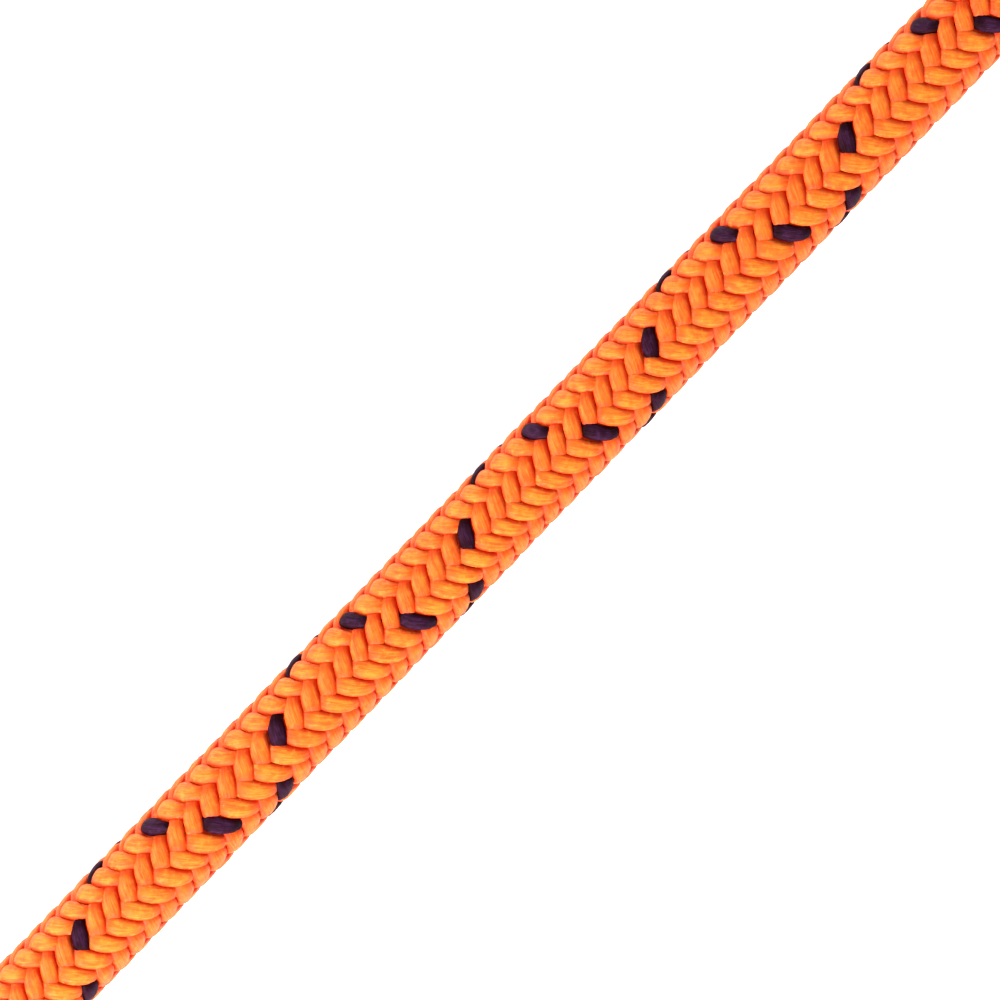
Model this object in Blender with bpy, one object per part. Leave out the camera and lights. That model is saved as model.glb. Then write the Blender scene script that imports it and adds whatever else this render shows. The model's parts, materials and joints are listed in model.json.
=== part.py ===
"""Kernmantle climbing rope, one short run of it.

A braided tube of twenty-four sheath strands, twelve laid each way, goes round
a core of three twisted cords with a flat marker tape beside them.  The core is
divided into short lengths that turn on one another, which is how the rope
bends.  The rope lies along X, Z is up, and the model is centred on the origin.

Sizes are in metres.  Angles are in degrees round the rope axis, from +Z
towards -Y.
"""
import math

import bpy
from mathutils import Vector

MM = 0.001

# -------------------------------------------------------------- driving sizes
PITCH = 33.0 * MM             # one full turn of a sheath strand
TURNS = 5.5                   # turns in the modelled length
LENGTH = PITCH * TURNS

# Sheath
STRANDS_EACH_WAY = 12
OVER_RADIUS = 5.20 * MM       # strand centre where it floats on the outside
UNDER_RADIUS = 3.74 * MM      # strand centre where it passes beneath
STRAND_HALF_THICK = 0.30 * MM
STRAND_FILL = 0.80            # share of the room between neighbours it fills
COLUMN_STEP = 360.0 / STRANDS_EACH_WAY
RIGHT_COLUMN = 20.5           # middle of a column of right-lay floats
LEFT_COLUMN = RIGHT_COLUMN - COLUMN_STEP    # the left-lay column beside it
RIGHT_TRACER = 230.75         # marked right-lay strand, at mid-length
LEFT_TRACER = 275.25          # marked left-lay strand, at mid-length
STRAND_RATE = 360.0 / PITCH   # degrees per metre
SPARE_CROSSINGS = 4           # laid out past each end before trimming
SHORTEST_END = 0.05 * MM      # a ring closer than this to an end is left out

# Core
SEGMENTS = 11                 # lengths of core that turn on one another
MIDDLE = SEGMENTS // 2        # index of the length that stays put
HINGE_REACH = 30.0            # degrees each way at each hinge
HINGE_CLEARANCE = 0.12 * MM   # left between core lengths at full bend
AXIS_DISPLAY_SIZE = 4.0 * MM
CORD_COUNT = 3
CORD_RING = 1.70 * MM         # from rope axis to cord axis
CORD_FIRST = 90.0             # angle of cord A
CORD_PLIES = 3
CORD_CREST = 1.50 * MM        # cord axis to the crown of a ply
CORD_VALLEY = 1.30 * MM       # cord axis to the groove between plies
CORD_TURN = 33.0 * MM         # one turn of the plies
CORD_PHASE_STEP = 40.0        # degrees the plies are turned from cord to cord
CORD_STEPS = 5                # loft steps along each core length

# Marker tape
TAPE_WIDTH = 1.90 * MM
TAPE_THICK = 0.16 * MM
TAPE_RADIUS = 3.02 * MM       # rope axis to the middle of the tape's thickness
TAPE_ANGLE = CORD_FIRST - 180.0 / CORD_COUNT    # in the groove between two cords


# ------------------------------------------------------------------ materials
def make_material(name, colour, roughness):
    material = bpy.data.materials.new(name)
    material.use_nodes = True
    shader = material.node_tree.nodes["Principled BSDF"]
    shader.inputs["Base Color"].default_value = (*colour, 1.0)
    shader.inputs["Roughness"].default_value = roughness
    shader.inputs["Metallic"].default_value = 0.0
    material.diffuse_color = (*colour, 1.0)
    return material


# ------------------------------------------------------------------- geometry
def outward(angle):
    """Unit vector in the cross-section, pointing out from the rope axis."""
    return Vector((0.0, -math.sin(math.radians(angle)), math.cos(math.radians(angle))))


def sideways(angle):
    """Unit vector square to outward(angle), towards increasing angle."""
    return Vector((0.0, -math.cos(math.radians(angle)), -math.sin(math.radians(angle))))


def place_ring(points, x):
    """Move a cross-section's points into the plane at x."""
    for point in points:
        point.x = x
    return points


def cut_ring(ring_a, ring_b, x):
    """The ring where the straight loft from ring_a to ring_b meets the plane at x."""
    return [p.lerp(q, (x - p.x) / (q.x - p.x)) for p, q in zip(ring_a, ring_b)]


def signed_volume(mesh):
    """Six times the enclosed volume, negative if the faces look inward."""
    volume = 0.0
    for face in mesh.polygons:
        corners = [mesh.vertices[i].co for i in face.vertices]
        for second, third in zip(corners[1:], corners[2:]):
            volume += corners[0].dot(second.cross(third))
    return volume


def add_loft(name, rings, material, parent=None, origin_x=0.0):
    """A closed solid through rings of equal vertex count, ends capped flat.

    The rings are in rope coordinates.  The object's origin is on the rope axis
    at origin_x, which is where its parent stands.
    """
    origin = Vector((origin_x, 0.0, 0.0))
    verts = [point - origin for ring in rings for point in ring]
    count = len(rings[0])
    last = (len(rings) - 1) * count
    faces = []
    for start in range(0, last, count):
        for j in range(count):
            after = (j + 1) % count
            faces.append((start + j, start + after,
                          start + count + after, start + count + j))
    faces.append(tuple(range(count - 1, -1, -1)))
    faces.append(tuple(range(last, last + count)))

    mesh = bpy.data.meshes.new(name)
    mesh.from_pydata(verts, [], faces)
    mesh.validate()
    # the rings may run either way round, so turn the faces outward if needed
    if signed_volume(mesh) < 0.0:
        mesh.flip_normals()
    mesh.update()
    mesh.materials.append(material)

    obj = bpy.data.objects.new(name, mesh)
    bpy.context.scene.collection.objects.link(obj)
    obj.parent = parent


# --------------------------------------------------------------------- sheath
def strand_ring(x, angle, is_over):
    """Lozenge section of a strand in the plane at x."""
    radius = OVER_RADIUS if is_over else UNDER_RADIUS
    room = 2.0 * math.pi * radius / STRANDS_EACH_WAY
    middle = outward(angle) * radius
    to_crown = outward(angle) * STRAND_HALF_THICK
    to_edge = sideways(angle) * (STRAND_FILL * room / 2.0)
    return place_ring([middle + to_crown, middle + to_edge,
                       middle - to_crown, middle - to_edge], x)


def add_strand(name, mid_angle, lay, material):
    """One strand: lay is +1 for right, -1 for left; mid_angle is its angle at x = 0."""
    column = RIGHT_COLUMN if lay > 0 else LEFT_COLUMN
    nearest = round((mid_angle - column) / COLUMN_STEP)
    reach = int(TURNS * STRANDS_EACH_WAY / 2) + SPARE_CROSSINGS

    # a ring wherever the strand crosses the middle of a column, over and
    # under by turns
    stations = []
    for k in range(nearest - reach, nearest + reach + 1):
        angle = column + COLUMN_STEP * k
        x = lay * (angle - mid_angle) / STRAND_RATE
        stations.append((x, strand_ring(x, angle, is_over=k % 2 == 0)))
    stations.sort(key=lambda station: station[0])

    # trim to the rope's length
    end = LENGTH / 2.0
    rings = []
    for (x_a, ring_a), (x_b, ring_b) in zip(stations, stations[1:]):
        if x_a < -end < x_b:
            rings.append(cut_ring(ring_a, ring_b, -end))
        if -end + SHORTEST_END < x_b < end - SHORTEST_END:
            rings.append(ring_b)
        if x_a < end < x_b:
            rings.append(cut_ring(ring_a, ring_b, end))
    add_loft(name, rings, material)


def add_sheath(plain, tracer):
    """Both lays; the first strand of each is the marked one."""
    for side, lay, first_angle in (("right", +1, RIGHT_TRACER),
                                   ("left", -1, LEFT_TRACER)):
        for i in range(STRANDS_EACH_WAY):
            add_strand(f"sheath_{side}_{i + 1:02d}", first_angle + COLUMN_STEP * i,
                       lay, tracer if i == 0 else plain)


# ----------------------------------------------------------------------- core
def hinge_x(k):
    """Where core length k meets core length k + 1; -1 gives the rope's -X end."""
    return -LENGTH / 2.0 + LENGTH * (k + 1) / SEGMENTS


def add_axes():
    """An empty at each hinge, parented to the next one towards the middle.

    Returns (empty, x) for each core length; the middle length has no empty.
    """
    axes = {MIDDLE: (None, 0.0)}
    pairs = [(k, k - 1) for k in range(MIDDLE + 1, SEGMENTS)]
    pairs += [(k, k + 1) for k in range(MIDDLE - 1, -1, -1)]
    for k, inner in pairs:
        parent, parent_x = axes[inner]
        x = hinge_x(min(k, inner))
        axis = bpy.data.objects.new(f"axis_{k + 1:02d}", None)
        axis.empty_display_size = AXIS_DISPLAY_SIZE
        bpy.context.scene.collection.objects.link(axis)
        axis.parent = parent
        axis.location = (x - parent_x, 0.0, 0.0)
        axes[k] = (axis, x)
    return axes


def cord_ring(x, centre, phase):
    """Section of a cord: ply crowns and grooves by turns."""
    corners = 2 * CORD_PLIES
    turn = 360.0 * x / CORD_TURN + phase
    points = []
    for j in range(corners):
        radius = CORD_CREST if j % 2 == 0 else CORD_VALLEY
        points.append(centre + outward(360.0 / corners * j + turn) * radius)
    return place_ring(points, x)


def add_core(material):
    axes = add_axes()
    for k in range(SEGMENTS):
        parent, origin_x = axes[k]
        for c in range(CORD_COUNT):
            centre = outward(CORD_FIRST + 360.0 * c / CORD_COUNT) * CORD_RING
            # a hinged end is set back so that it clears its neighbour at full bend
            setback = ((abs(centre.y) + CORD_CREST)
                       * math.tan(math.radians(HINGE_REACH / 2.0)) + HINGE_CLEARANCE)
            start = hinge_x(k - 1) + (setback if k > 0 else 0.0)
            end = hinge_x(k) - (setback if k < SEGMENTS - 1 else 0.0)
            rings = [cord_ring(start + (end - start) * step / CORD_STEPS,
                               centre, CORD_PHASE_STEP * c)
                     for step in range(CORD_STEPS + 1)]
            add_loft(f"core_{k + 1:02d}_cord_{'ABC'[c]}", rings, material,
                     parent, origin_x)


# ---------------------------------------------------------------- marker tape
def add_tape(material):
    """A flat, straight strip running the whole length."""
    to_face = outward(TAPE_ANGLE) * (TAPE_THICK / 2.0)
    to_edge = sideways(TAPE_ANGLE) * (TAPE_WIDTH / 2.0)
    middle = outward(TAPE_ANGLE) * TAPE_RADIUS
    rings = [place_ring([middle + to_face + to_edge, middle + to_face - to_edge,
                         middle - to_face - to_edge, middle - to_face + to_edge], x)
             for x in (-LENGTH / 2.0, LENGTH / 2.0)]
    add_loft("marker_tape", rings, material)


# ---------------------------------------------------------------------- build
for old in list(bpy.data.objects):
    bpy.data.objects.remove(old, do_unlink=True)

add_sheath(
    plain=make_material("sheath_orange", colour=(1.0, 0.17, 0.022), roughness=0.62),
    tracer=make_material("sheath_tracer", colour=(0.022, 0.016, 0.048), roughness=0.58))
add_core(make_material("core_white", colour=(0.86, 0.85, 0.81), roughness=0.70))
add_tape(make_material("marker_tape", colour=(0.80, 0.62, 0.10), roughness=0.45))

bpy.context.view_layer.update()
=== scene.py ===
"""A braided rope: orange sheath with two dark tracer strands, white core cords, marker tape.

The rope lies along x with its axis on y = z = 0. Angles around it are in degrees,
0 at the top (+Z) and 90 at the side facing -Y. The sheath is two lays of twelve strands
that wind opposite ways. Each strand passes over and under by turns; a stretch where it
lies on top is called a float. Every part is split into runs,
one to each hinge between neighbouring bodies.
"""
import json
import math
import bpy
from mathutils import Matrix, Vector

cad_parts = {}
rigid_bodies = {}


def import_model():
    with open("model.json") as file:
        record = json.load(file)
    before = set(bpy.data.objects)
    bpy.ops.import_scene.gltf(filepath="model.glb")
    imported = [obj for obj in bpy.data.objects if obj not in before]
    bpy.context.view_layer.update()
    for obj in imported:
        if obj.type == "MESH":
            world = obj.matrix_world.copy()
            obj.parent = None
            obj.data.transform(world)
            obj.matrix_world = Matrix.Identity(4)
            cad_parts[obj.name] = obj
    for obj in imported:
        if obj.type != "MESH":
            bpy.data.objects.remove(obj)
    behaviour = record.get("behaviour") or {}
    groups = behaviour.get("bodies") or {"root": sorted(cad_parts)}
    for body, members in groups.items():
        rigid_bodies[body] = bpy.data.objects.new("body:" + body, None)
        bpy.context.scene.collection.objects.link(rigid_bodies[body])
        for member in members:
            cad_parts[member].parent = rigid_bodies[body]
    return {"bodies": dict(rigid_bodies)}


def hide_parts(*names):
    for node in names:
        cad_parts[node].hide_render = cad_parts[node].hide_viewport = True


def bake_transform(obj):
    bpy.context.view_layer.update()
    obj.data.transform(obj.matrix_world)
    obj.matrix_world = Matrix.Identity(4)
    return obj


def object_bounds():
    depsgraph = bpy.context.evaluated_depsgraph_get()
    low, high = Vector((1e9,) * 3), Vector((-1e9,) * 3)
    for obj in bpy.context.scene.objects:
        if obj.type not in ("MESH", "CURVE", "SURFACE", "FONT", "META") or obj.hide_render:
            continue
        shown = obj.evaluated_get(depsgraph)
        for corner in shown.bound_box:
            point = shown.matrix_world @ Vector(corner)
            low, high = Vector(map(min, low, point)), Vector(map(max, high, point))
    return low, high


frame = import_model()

from types import SimpleNamespace

import bpy
import numpy as np
from mathutils import Vector

BOX_CAD = [list(v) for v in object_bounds()]

MM = 0.001
DEG = math.pi / 180.0

# ------------------------------------------------------------ rope and bodies
LO_X, HI_X = BOX_CAD[0][0], BOX_CAD[1][0]
LENGTH = HI_X - LO_X
SEGMENTS = len([b for b in frame["bodies"] if b.startswith("rope_")])
STEP = LENGTH / SEGMENTS                   # length of one body

# ------------------------------------------------------------ sheath sizes
PITCH = LENGTH / 5.5                       # one full turn of a strand
CARRIERS = 12                              # strands in each lay
RATE = 360.0 / PITCH                       # degrees per metre
FLOAT_PERIOD = 60.0                        # degrees from one float to the next
HALF_PERIOD = FLOAT_PERIOD / 2
RING_STEP = FLOAT_PERIOD / 16              # degrees between rings of a strand
START_GRID = 3.0                           # a strand's first ring is on a multiple of this
SIDES = 18
POWER = 2.3                                # squareness of the section; 2 is an ellipse
R_TOP, R_LOW = 4.99 * MM, 4.06 * MM        # strand centre, over and under
T_TOP, T_LOW = 0.60 * MM, 0.50 * MM        # half thickness, over and under
R_MAX = 5.66 * MM                          # over the highest crowns
FILL = 0.99                                # share of its lane a strand takes up
UNDER_SWELL = 0.32                         # widening of a strand where it lies under
TRACER_UNDER_SWELL = -0.10
TRACER_SINK = 0.22 * MM                    # the thinner tracer beds deeper where it lies under
NEIGHBOUR_SWELL = 1.05                     # the two strands beside a tracer close up on it
TIP_AT, TIP_WIDTH = 17.0, 6.5              # float tip from the float's middle, degrees
END_GAP = 0.12 * MM                        # least distance from a cut end to the next ring

# Degrees and shares by which the two lays differ:
#   tracer   angle of the tracer at x = 0
#   column   middle of a column of floats
#   own      half a float's reach
#   lean     how much steeper a float runs; bow, how much it curves
#   steep    (angle where floats run steeper still, how much)
#   thin     width of the tracer beside its neighbours
#   taper    how far a float narrows at its tips
#   sway     greatest shift along x, reached three times around
#   cut_back how far short of the end planes the strands stop, mm
RIGHT = SimpleNamespace(
    side="right", sign=+1, tracer=226.5, column=21.0, own=17.4, lean=0.16, bow=0.34,
    steep=(-42.0, 0.32), thin=0.88, taper=0.05, sway=0.0, cut_back=0.0)
LEFT = SimpleNamespace(
    side="left", sign=-1, tracer=272.5, column=-9.0, own=16.4, lean=0.30, bow=0.14,
    steep=(50.0, 0.24), thin=0.94, taper=0.13, sway=1.5 * MM, cut_back=0.09)
STEEP_WIDTH = 28.0

# How far the braid runs ahead of an even pitch: a constant, then waves along the rope
AHEAD_MEAN = 0.107676                      # mm
AHEAD_WAVES = [                            # waves in the length, sine mm, cosine mm
    (1, -0.646056, -0.191424),
    (2, -0.622128, 0.191424),
    (3, 0.071784, -0.167496),
]

# How the columns are shifted around the rope, degrees
SPREAD = 8.0                               # columns open out on the upper side
PAIR = 1.0                                 # right-lay columns gain on the left-lay ones
PAIR_AT = 6.0
SHIFTS = [                                 # shift, angle it is centred on, width
    (3.0, 37.0, 16.0),
    (7.4, 68.0, 18.0),
    (-2.5, -58.0, 16.0),
]

# ------------------------------------------------------------ core and tape sizes
CORD_RING = 1.86 * MM                      # rope axis to cord axis
PLY_RADIUS = 0.82 * MM
PLY_RING = 0.83 * MM                       # cord axis to ply axis
PLY_TURN = 11.0 * MM                       # length of one turn of a ply
PLY_SIDES = 14
TAPE_OUTER, TAPE_INNER = 3.22 * MM, 3.10 * MM
TAPE_ANGLE, TAPE_HALF_ARC = 30.0, 16.0     # degrees


# ------------------------------------------------------------------ braid law
def hump(angle, at, width):
    """A bell of height 1 around the rope."""
    away = (angle - at + 180.0) % 360.0 - 180.0
    return np.exp(-(away / width) ** 2)


def from_float_middle(lay, angle):
    """Degrees to the middle of the nearest float."""
    return np.abs((angle - lay.column + HALF_PERIOD) % FLOAT_PERIOD - HALF_PERIOD)


def ride_height(lay, from_middle):
    """1 on top of a float, 0 underneath."""
    phase = from_middle / HALF_PERIOD
    reach = lay.own / HALF_PERIOD
    skew = (0.5 - reach) / math.sin(math.pi * reach)
    height = np.cos(np.pi * (phase + skew * np.sin(np.pi * phase)))
    for _ in range(2):                     # flatten the tops and bottoms
        height = height * (1.5 - 0.5 * height * height)
    return 0.5 + 0.5 * height


def uneven(x):
    """How far the braid at x runs ahead of an even pitch."""
    turn = 2 * math.pi * x / LENGTH
    ahead = AHEAD_MEAN
    for k, sine, cosine in AHEAD_WAVES:
        ahead = ahead + sine * np.sin(k * turn) + cosine * np.cos(k * turn)
    return MM * ahead


def along(lay, start, angle):
    """x of the strand where it stands at this angle."""
    from_column = angle - lay.column
    turn = 2 * math.pi * from_column / FLOAT_PERIOD
    steep_at, steep_by = lay.steep
    lean = lay.lean + steep_by * hump(angle, steep_at, STEEP_WIDTH)
    wave = (FLOAT_PERIOD / (2 * math.pi)) * (lean * np.sin(turn) + lay.bow * np.cos(turn))
    x = lay.sign * (angle - start - wave) / RATE
    x = x + lay.sway * (0.5 - 0.5 * np.cos(3.0 * from_column * DEG))
    return x + uneven(x)


def opened(angle):
    """Where a point of the even braid comes to lie around the rope."""
    place = angle + SPREAD * np.sin(angle * DEG) - PAIR * np.cos(6.0 * (angle - PAIR_AT) * DEG)
    for shift, at, width in SHIFTS:
        place = place + shift * hump(angle, at, width)
    return place


# -------------------------------------------------------------- swept solids
def ray(angle):
    """Unit vector out from the rope's axis."""
    a = np.asarray(angle) * DEG
    return np.stack([np.zeros_like(a), -np.sin(a), np.cos(a)], -1)


def unit(v):
    return v / np.linalg.norm(v, axis=-1, keepdims=True)


def wander(rng, x, size, scale):
    """A smooth aimless curve along x; scale is its longest wave."""
    out = np.zeros_like(x)
    for k in range(5):
        freq = (k + 1) * 2 * math.pi / scale
        out += rng.normal() * np.sin(freq * x + rng.uniform(0, 6.28)) / (k + 1)
    return out * size * 0.6


def section(sides, power):
    """Superellipse of half size 1, as its points across and outward."""
    a = np.arange(sides) * 2 * math.pi / sides - math.pi / 2
    c, s = np.cos(a), np.sin(a)
    e = 2.0 / power
    return np.sign(c) * np.abs(c) ** e, np.sign(s) * np.abs(s) ** e


def tube(centre, outward, half_w, half_t, sides, power, flush):
    """Rings of a swept section; within flush of the ends they turn flat into the end planes."""
    tangent = unit(np.gradient(centre, axis=0))
    side = unit(np.cross(tangent, outward))
    normal = np.cross(side, tangent)
    c, s = section(sides, power)
    ring = (centre[:, None] + side[:, None] * (half_w[:, None] * c)[..., None]
            + normal[:, None] * (half_t[:, None] * s)[..., None])
    level = unit(tangent - outward * (tangent * outward).sum(-1, keepdims=True))
    flat = ring + level[:, None] * (
        (centre[:, None, 0] - ring[..., 0]) / level[:, None, 0])[..., None]
    x = centre[:, 0]
    near = np.minimum(np.abs(x - x[0]), np.abs(x - x[-1])) / flush
    w = np.clip(1.0 - near, 0.0, 1.0)
    w = (w * w * (3 - 2 * w))[:, None, None]
    return ring * (1 - w) + flat * w


def ring_normals(rings):
    du = np.gradient(rings, axis=0)
    dv = np.roll(rings, -1, axis=1) - np.roll(rings, 1, axis=1)
    n = unit(np.cross(dv, du))
    mid = rings.mean(axis=1, keepdims=True)
    return n * np.sign(((rings - mid) * n).sum(-1).mean())


def solid(name, blocks, mat):
    """Mesh of closed strands through their rings, flat caps, shading carried over cuts."""
    verts, faces, shade, flat, attrs, base = [], [], [], [], {}, 0
    for rings, normals, values in blocks:
        count, sides = rings.shape[:2]
        idx = np.arange(count * sides).reshape(count, sides)
        turned = np.roll(idx, -1, axis=1)
        quads = np.stack([idx[:-1], turned[:-1], turned[1:], idx[1:]], -1).reshape(-1, 4)
        points, point_normals = rings.reshape(-1, 3), normals.reshape(-1, 3)
        q = quads[len(quads) // 2]
        face_n = np.cross(points[q[1]] - points[q[0]], points[q[2]] - points[q[0]])
        caps = [idx[0][::-1], idx[-1]]
        if np.dot(face_n, point_normals[q[0]]) < 0:       # turn the faces outward
            quads = quads[:, ::-1]
            caps = [idx[0], idx[-1][::-1]]
        faces += (quads + base).tolist() + [(c + base).tolist() for c in caps]
        flat += [False] * len(quads) + [True, True]
        verts.append(points)
        shade.append(point_normals)
        for key, val in values.items():
            attrs.setdefault(key, []).append(np.asarray(val, np.float32).ravel())
        base += count * sides
    mesh = bpy.data.meshes.new(name)
    mesh.from_pydata(np.concatenate(verts).tolist(), [], faces)
    mesh.validate()
    mesh.update()
    for key, val in attrs.items():
        layer = mesh.attributes.new(key, "FLOAT", "POINT")
        layer.data.foreach_set("value", np.concatenate(val))
    mesh.polygons.foreach_set("use_smooth", [not f for f in flat])
    loops = np.zeros(len(mesh.loops), np.int32)
    mesh.loops.foreach_get("vertex_index", loops)
    custom = np.concatenate(shade)[loops]
    for j in np.nonzero(flat)[0].tolist():
        face = mesh.polygons[j]
        custom[face.loop_start:face.loop_start + face.loop_total] = np.array(face.normal)
    mesh.normals_split_custom_set(custom.tolist())
    mesh.materials.append(mat)
    obj = bpy.data.objects.new(name, mesh)
    bpy.context.scene.collection.objects.link(obj)
    return obj


class Bundle:
    """Long swept solids that lie together, split at the middles of the bodies into runs,
    one run to a hinge."""

    def __init__(self, prefix, mat, slot):
        self.prefix, self.mat, self.slot = prefix, mat, slot
        self.blocks = [[] for _ in range(SEGMENTS - 1)]
        self.stands_for = [[] for _ in range(SEGMENTS - 1)]

    def add(self, rings, centre_x, values, nodes_of):
        """values are point attributes; nodes_of(run) names the CAD nodes a run stands for."""
        normals = ring_normals(rings)
        values = {key: np.broadcast_to(v, rings.shape[:2]) for key, v in values.items()}
        marks = [0]
        for k in range(1, SEGMENTS - 1):
            marks.append(int(np.argmin(np.abs(centre_x - (LO_X + STEP * (k + 0.5))))))
        marks.append(len(rings) - 1)
        for run in range(SEGMENTS - 1):
            cut = slice(marks[run], marks[run + 1] + 1)
            part = {key: v[cut] for key, v in values.items()}
            self.blocks[run].append((rings[cut], normals[cut], part))
            self.stands_for[run] += nodes_of(run)

    def build(self):
        for run in range(SEGMENTS - 1):
            part = solid("%s_run_%02d" % (self.prefix, run + 1), self.blocks[run], self.mat)
            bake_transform(part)
            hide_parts(*self.stands_for[run])


# ------------------------------------------------------------------ materials
def rgba(colour):
    return (*colour, 1.0)


class Graph:
    """A material's node tree, with a short method for each kind of node."""

    def __init__(self, name):
        self.mat = bpy.data.materials.new(name)
        self.mat.use_nodes = True
        self.nodes = self.mat.node_tree.nodes
        self.links = self.mat.node_tree.links
        self.shader = self.nodes["Principled BSDF"]

    def put(self, socket, value):
        if hasattr(value, "is_output"):
            self.links.new(value, socket)
        else:
            socket.default_value = value

    def surface(self, inputs):
        for name, value in inputs.items():
            self.put(self.shader.inputs[name], value)

    def attr(self, name):
        n = self.nodes.new("ShaderNodeAttribute")
        n.attribute_name = name
        return n.outputs["Fac"]

    def math(self, op, a, b=0.0):
        n = self.nodes.new("ShaderNodeMath")
        n.operation = op
        self.put(n.inputs[0], a)
        self.put(n.inputs[1], b)
        return n.outputs[0]

    def times(self, a, b):
        return self.math("MULTIPLY", a, b)

    def plus(self, a, b):
        return self.math("ADD", a, b)

    def noise(self, u, v, seed, freq, detail, rough):
        """Noise over a strand; freq is how finely it varies along u and along v."""
        place = [self.times(u, freq[0]), self.times(v, freq[1]), seed]
        vec = self.nodes.new("ShaderNodeCombineXYZ")
        for socket, value in zip(vec.inputs, place):
            self.put(socket, value)
        n = self.nodes.new("ShaderNodeTexNoise")
        self.put(n.inputs["Vector"], vec.outputs[0])
        n.inputs["Scale"].default_value = 1.0
        n.inputs["Detail"].default_value = detail
        n.inputs["Roughness"].default_value = rough
        return n.outputs["Fac"]

    def ramp(self, value, over, to=(0.0, 1.0)):
        """Smooth step between the two values of to, as value goes between those of over."""
        n = self.nodes.new("ShaderNodeMapRange")
        n.interpolation_type = "SMOOTHSTEP"
        self.put(n.inputs["Value"], value)
        n.inputs["From Min"].default_value, n.inputs["From Max"].default_value = over
        n.inputs["To Min"].default_value, n.inputs["To Max"].default_value = to
        return n.outputs["Result"]

    def mix(self, a, b, mask, share=None):
        """Colour a with b laid over it where the mask is 1, at most by share."""
        fac = mask if share is None else self.times(mask, share)
        n = self.nodes.new("ShaderNodeMix")
        n.data_type = "RGBA"
        self.put(n.inputs["Factor"], fac)
        self.put(n.inputs["A"], a if hasattr(a, "is_output") else rgba(a))
        self.put(n.inputs["B"], b if hasattr(b, "is_output") else rgba(b))
        return n.outputs["Result"]

    def bump(self, height, distance, strength):
        n = self.nodes.new("ShaderNodeBump")
        self.put(n.inputs["Height"], height)
        n.inputs["Distance"].default_value = distance
        n.inputs["Strength"].default_value = strength
        return n.outputs["Normal"]


# Attributes the materials read:
#   su, sv  place along and around or across the piece
#   sr      distance from the rope's axis, mm
#   sid     a number of the strand's own, to vary the noise
#   sd      degrees from the float's middle
#   sl      1 on the right lay, 0 on the left
def yarn(name, shade_and_mottle, body, highlight_and_mottle, sheen_tint, spec, sheen, subsurface_and_painted_glow):
    """Filament yarn: fine lines along the strand; painted shade in the crevices, at the float
    tips and edges, in the ply grooves and over the left lay; painted highlights on the crests;
    painted glow in the crevices.
    """
    g = Graph(name)
    u, v, rad, sid, mid = [g.attr(key) for key in ("su", "sv", "sr", "sid", "sd")]
    twisted = g.plus(v, g.times(u, 0.12))    # the filaments run slightly askew
    fine = g.noise(u, twisted, sid, freq=(0.55, 13.0), detail=3.0, rough=0.6)
    plies = g.noise(u, twisted, sid, freq=(0.25, 3.6), detail=2.0, rough=0.5)
    slow = g.noise(u, v, sid, freq=(0.30, 0.4), detail=2.0, rough=0.5)
    # the offset sets the blotches apart from the other noises
    blotch = g.noise(u, v, g.plus(sid, 40.0), freq=(1.3, 1.5), detail=3.0, rough=0.6)
    height = g.plus(g.times(fine, 0.45), g.times(plies, 1.0))
    # painted shade: darker towards the shade colour lower in the crevices, nearer the rope's
    # axis
    tone = g.mix(shade_and_mottle, body, g.ramp(rad, over=(4.55, 5.62)))
    # painted shade at the float tips, where each float dips under its neighbours, their outline
    # made ragged by up to a few degrees
    ragged = g.times(g.math("SUBTRACT", blotch, 0.5), 10.0)
    tip = g.ramp(g.plus(mid, ragged), over=(8.0, 17.0))
    tone = g.mix(tone, shade_and_mottle, tip, share=0.70)
    # painted shade along both edges of each strand, where it meets its neighbours
    edge_shade = g.ramp(g.math("ABSOLUTE", v), over=(0.45, 0.98))
    tone = g.mix(tone, shade_and_mottle, edge_shade, share=0.90)
    # painted highlight on the crests of the floats, broken up along the filaments
    crest_highlight = g.times(g.ramp(rad, over=(5.20, 5.58)),
                    g.ramp(fine, over=(0.40, 0.64), to=(0.20, 1.0)))
    crest_highlight = g.times(crest_highlight, g.ramp(mid, over=(13.0, 4.0)))
    tone = g.mix(tone, highlight_and_mottle, crest_highlight, share=0.75)
    # painted shade in the grooves between plies, then dark and light blotches
    tone = g.mix(tone, shade_and_mottle, g.ramp(plies, over=(0.56, 0.36)), share=0.48)
    tone = g.mix(tone, shade_and_mottle, g.ramp(blotch, over=(0.50, 0.32)), share=0.40)
    tone = g.mix(tone, highlight_and_mottle, g.ramp(blotch, over=(0.52, 0.70)), share=0.45)
    tone = g.mix(tone, highlight_and_mottle, g.ramp(slow, over=(0.35, 0.7)), share=0.15)
    # painted shade: the left lay is darkened, standing in for the sheen that the key light gives
    # only the right lay
    tone = g.mix(tone, shade_and_mottle, g.ramp(g.attr("sl"), over=(0.0, 1.0), to=(0.30, 0.0)))
    g.surface({
        "Base Color": tone,
        "Roughness": g.ramp(fine, over=(0.25, 0.75), to=(0.42, 0.66)),
        "Specular IOR Level": spec,
        "Sheen Weight": sheen,
        "Sheen Roughness": 0.45,
        "Sheen Tint": rgba(sheen_tint),
        "Normal": g.bump(height, distance=0.075 * MM, strength=0.9),
        "Subsurface Weight": subsurface_and_painted_glow,
        "Subsurface Radius": (1.0, 0.22, 0.05),
        "Subsurface Scale": 0.7 * MM,
    })
    if subsurface_and_painted_glow:                                 # painted glow in the crevices, standing in for light that has passed through the yarn
        low = g.times(g.ramp(rad, over=(5.0, 4.4)), g.ramp(rad, over=(3.9, 4.3)))
        g.surface({"Emission Color": rgba(shade_and_mottle), "Emission Strength": g.times(low, 0.65 * subsurface_and_painted_glow)})
    return g.mat


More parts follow.
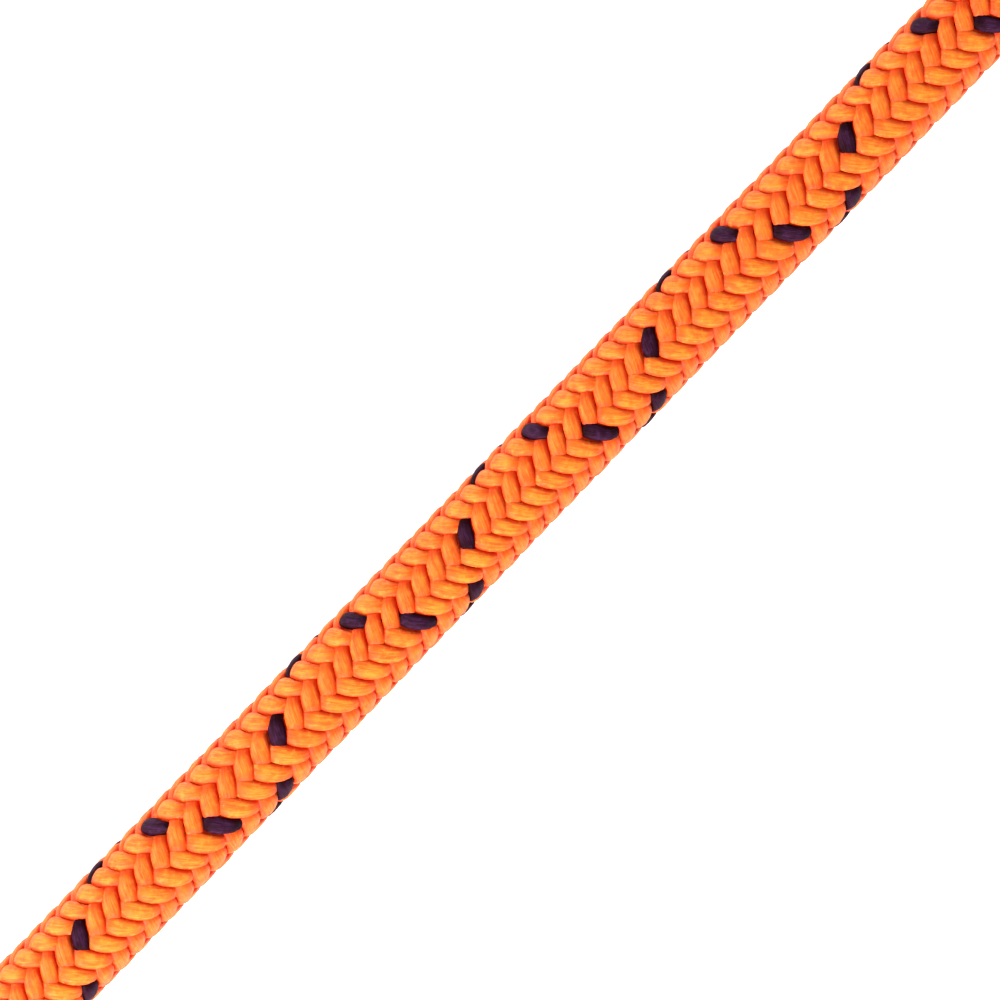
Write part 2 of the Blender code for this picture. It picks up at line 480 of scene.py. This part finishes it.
def cord_yarn():
    g = Graph("core_white_yarn")
    u, v, sid = [g.attr(key) for key in ("su", "sv", "sid")]
    twisted = g.plus(v, g.times(u, 0.35))
    fine = g.noise(u, twisted, sid, freq=(0.6, 12.0), detail=3.0, rough=0.6)
    g.surface({
        "Base Color": g.mix((0.40, 0.38, 0.34), (0.56, 0.545, 0.51),
                            g.ramp(fine, over=(0.3, 0.7))),
        "Roughness": g.ramp(fine, over=(0.25, 0.75), to=(0.5, 0.75)),
        "Sheen Weight": 0.1,
        "Normal": g.bump(fine, distance=0.05 * MM, strength=0.8),
    })
    return g.mat


def tape_film():
    g = Graph("marker_tape_film")
    u, v = g.attr("su"), g.attr("sv")
    grain = g.noise(u, v, 0.0, freq=(0.4, 7.0), detail=3.0, rough=0.5)
    g.surface({
        "Base Color": g.mix((0.62, 0.44, 0.05), (0.80, 0.60, 0.10),
                            g.ramp(grain, over=(0.35, 0.65))),
        "Roughness": g.ramp(grain, over=(0.3, 0.7), to=(0.32, 0.5)),
        "Normal": g.bump(grain, distance=0.02 * MM, strength=0.5),
    })
    return g.mat


# For each yarn the first colour is for painted shade, painted glow and dark blotches, the third
# for painted highlights and light blotches.
ORANGE = yarn("sheath_orange_yarn", shade_and_mottle=(0.66, 0.029, 0.0005), body=(0.75, 0.112, 0.003),
              highlight_and_mottle=(0.82, 0.29, 0.029), sheen_tint=(0.9, 0.45, 0.12),
              spec=0.20, sheen=0.10, subsurface_and_painted_glow=0.45)
DARK = yarn("sheath_tracer_yarn", shade_and_mottle=(0.0140, 0.0002, 0.0003), body=(0.0065, 0.0004, 0.0024),
            highlight_and_mottle=(0.066, 0.019, 0.060), sheen_tint=(0.55, 0.3, 0.6),
            spec=0.035, sheen=0.0, subsurface_and_painted_glow=0.0)
WHITE = cord_yarn()
FILM = tape_film()


# --------------------------------------------------------------- sheath braid
def strand_stations(lay, start, rng):
    """Angle and x of each ring of a strand, from one cut end to the other."""
    reach = 0.5 * LENGTH * RATE + 48.0       # enough to pass both end planes
    first = math.floor((start - reach) / START_GRID) * START_GRID
    count = int((2 * reach + 2 * START_GRID) / RING_STEP) + 2
    angle = first + np.arange(count) * RING_STEP
    x = along(lay, start, angle)
    order = np.argsort(x)
    angle, x = angle[order], x[order]
    short = (rng.uniform(0.0, 0.06, 2) + lay.cut_back) * MM     # an uneven cut
    ends = [LO_X + short[0], HI_X - short[1]]
    end_angles = np.interp(ends, x, angle)
    keep = (x > ends[0] + END_GAP) & (x < ends[1] - END_GAP)
    angle = np.concatenate([end_angles[:1], angle[keep], end_angles[1:]])
    return angle, np.concatenate([ends[:1], x[keep], ends[1:]])


def sheath_strand(bundle, lay, i):
    """Strand i of a lay; strand 0 is the tracer."""
    rng = np.random.default_rng(100 * (lay.sign + 2) + i)
    start = lay.tracer + 360.0 / CARRIERS * i
    angle, x = strand_stations(lay, start, rng)
    from_mid = from_float_middle(lay, angle)
    over = ride_height(lay, from_mid)
    swell = 1.0 + wander(rng, x, 0.035, 41 * MM)
    drift = wander(rng, x, 0.9, 29 * MM)            # degrees
    r = R_LOW + (R_TOP - R_LOW) * over + wander(rng, x, 0.035 * MM, 23 * MM)
    if i == 0:
        r = r - TRACER_SINK * (1.0 - over)
    place = opened(angle)
    centre = ray(place + drift * 0.5) * r[:, None]
    centre[:, 0] = x

    # width from the lane between neighbours, seen square to the strand's run
    dx = 0.1 * MM
    stretch = 1.0 + (uneven(x + dx) - uneven(x - dx)) / (2 * dx)
    run = np.abs(along(lay, start, angle + 0.5) - along(lay, start, angle - 0.5))
    sweep = (opened(angle + 0.5) - opened(angle - 0.5)) * DEG
    slope = np.arctan2(r * sweep, run)
    tip = np.exp(-((from_mid - TIP_AT) / TIP_WIDTH) ** 2)
    half_w = 0.5 * FILL * (PITCH / CARRIERS) * stretch * np.sin(slope) * swell
    under_swell = TRACER_UNDER_SWELL if i == 0 else UNDER_SWELL
    half_w = half_w * (1.0 - lay.taper * tip) * (1.0 + under_swell * (1.0 - over))
    if i == 0:
        half_w = half_w * lay.thin
    if i in (1, CARRIERS - 1):
        half_w = half_w * NEIGHBOUR_SWELL
    half_t = (T_LOW + (T_TOP - T_LOW) * over) * (1.0 + wander(rng, x, 0.03, 17 * MM))

    rings = tube(centre, ray(place), half_w, half_t, sides=SIDES, power=POWER, flush=2.6 * MM)
    far = np.linalg.norm(rings[..., 1:], axis=-1, keepdims=True)
    rings[..., 1:] *= np.minimum(1.0, R_MAX / far)  # no cut end flares out past the crowns
    pieces = np.linalg.norm(np.diff(centre, axis=0), axis=1)
    values = {
        "su": np.concatenate([[0], np.cumsum(pieces)])[:, None] / MM,
        "sv": section(SIDES, POWER)[0],
        "sr": np.linalg.norm(rings[..., 1:], axis=-1) / MM,
        "sid": 7.0 * i + 3.1 * (lay.sign + 1),
        "sd": from_mid[:, None],
        "sl": 0.5 + 0.5 * lay.sign,
    }
    name = "sheath_%s_%02d" % (lay.side, i + 1)
    bundle.add(rings, x, values, lambda run: [name])


def sheath():
    for lay in (RIGHT, LEFT):
        for kind, mat, slot, strands in (
                ("tracer", DARK, "sheath_tracer", range(1)),
                ("strands", ORANGE, "sheath_orange", range(1, CARRIERS))):
            bundle = Bundle("sheath_%s_%s" % (lay.side, kind), mat, slot)
            for i in strands:
                sheath_strand(bundle, lay, i)
            bundle.build()


# ----------------------------------------------------------------- core cords
def core_cord(c, letter):
    """A cord of three plies laid round each other."""
    cord = Bundle("core_cord_%s" % letter, WHITE, "core_white")
    axis = ray(90.0 + 120.0 * c) * CORD_RING
    x = np.linspace(LO_X, HI_X, 331)
    half = np.full(len(x), PLY_RADIUS)
    for p in range(3):
        turn = 360.0 * x / PLY_TURN + 120.0 * p + 40.0 * c
        centre = axis[None] + ray(turn) * PLY_RING
        centre[:, 0] = x
        rings = tube(centre, ray(turn), half, half, sides=PLY_SIDES, power=2.0, flush=1.2 * MM)
        values = {"su": x[:, None] / MM * 1.1,
                  "sv": np.arange(PLY_SIDES) / PLY_SIDES * 4.6,
                  "sid": 5.0 * c + 11.0 * p}
        cord.add(rings, x, values,
                 lambda run: ["core_%02d_cord_%s" % (run + k, letter) for k in (1, 2)])
    cord.build()


# ---------------------------------------------------------------- marker tape
def marker_tape():
    """A thin curved band between the core and the sheath."""
    x = np.linspace(LO_X, HI_X, 221)
    rng = np.random.default_rng(5)
    swing = TAPE_ANGLE + wander(rng, x, 2.0, 60 * MM)
    arc = np.linspace(-1, 1, 9)
    angle = swing[:, None] + arc * TAPE_HALF_ARC
    rings = np.concatenate([ray(angle) * TAPE_OUTER, ray(angle[:, ::-1]) * TAPE_INNER], axis=1)
    rings[..., 0] = x[:, None]
    values = {"su": x[:, None] / MM, "sv": np.concatenate([arc, arc[::-1]])}
    tape = Bundle("marker_tape", FILM, "marker_tape")
    tape.add(rings, x, values, lambda run: ["marker_tape"])
    tape.build()


# --------------------------------------------------------------------- studio
def floor():
    """A pale sheet just under the rope, glowing more strongly away from it."""
    half, z = 3.0, -5.80 * MM
    corners = [(-half, -half, z), (half, -half, z), (half, half, z), (-half, half, z)]
    mesh = bpy.data.meshes.new("floor")
    mesh.from_pydata(corners, [], [(0, 1, 2, 3)])
    obj = bpy.data.objects.new("floor", mesh)
    bpy.context.scene.collection.objects.link(obj)
    g = Graph("pale_floor")
    place = g.nodes.new("ShaderNodeNewGeometry").outputs["Position"]
    away = g.nodes.new("ShaderNodeVectorMath")
    away.operation = "LENGTH"
    g.links.new(place, away.inputs[0])
    g.surface({
        "Base Color": (0.92, 0.92, 0.92, 1),
        "Roughness": 0.9,
        "Specular IOR Level": 0.0,
        "Emission Color": (1, 1, 1, 1),
        "Emission Strength": g.ramp(away.outputs["Value"], over=(0.30, 1.10), to=(0.62, 1.0)),
    })
    mesh.materials.append(g.mat)


def white_world():
    world = bpy.data.worlds.new("studio")
    bpy.context.scene.world = world
    world.use_nodes = True
    nodes, links = world.node_tree.nodes, world.node_tree.links
    background = nodes["Background"]
    background.inputs["Color"].default_value = (1, 1, 1, 1)
    seen = nodes.new("ShaderNodeLightPath")
    level = nodes.new("ShaderNodeMapRange")
    level.inputs["To Min"].default_value = 0.24          # what lights the rope
    level.inputs["To Max"].default_value = 1.0           # what the camera sees behind it
    links.new(seen.outputs["Is Camera Ray"], level.inputs["Value"])
    links.new(level.outputs["Result"], background.inputs["Strength"])


def lamp(name, where, size, power):
    """A square area light aimed at the origin."""
    data = bpy.data.lights.new(name, "AREA")
    data.size = size
    data.energy = power
    obj = bpy.data.objects.new(name, data)
    bpy.context.scene.collection.objects.link(obj)
    obj.location = where
    obj.rotation_mode = "QUATERNION"
    obj.rotation_quaternion = (-Vector(where)).to_track_quat("-Z", "Y")


def camera():
    """Looks straight down on the rope through a long lens."""
    view_width = 119.64325 * MM              # what the picture spans at the rope's axis
    cam = bpy.data.cameras.new("camera")
    cam.lens, cam.sensor_width = 400.0, 36.0
    cam.clip_start, cam.clip_end = 0.1, 20.0
    eye = bpy.data.objects.new("camera", cam)
    bpy.context.scene.collection.objects.link(eye)
    eye.location = (-0.83152 * MM, 0.86502 * MM, view_width * 400.0 / 36.0)
    eye.rotation_euler = (0.0, 0.0, -46.12 * DEG)
    bpy.context.scene.camera = eye


sheath()
for c, letter in enumerate("ABC"):
    core_cord(c, letter)
marker_tape()

floor()
white_world()
lamp("key_high", where=(-0.50, 0.50, 0.42), size=0.22, power=9.6)
lamp("key_low", where=(-0.60, -0.34, 0.44), size=0.22, power=14.0)
lamp("fill", where=(0.45, -0.05, 0.60), size=0.60, power=1.2)

view = bpy.context.scene.view_settings
view.view_transform = "Standard"
view.look = "None"
view.exposure = 0.0
camera()
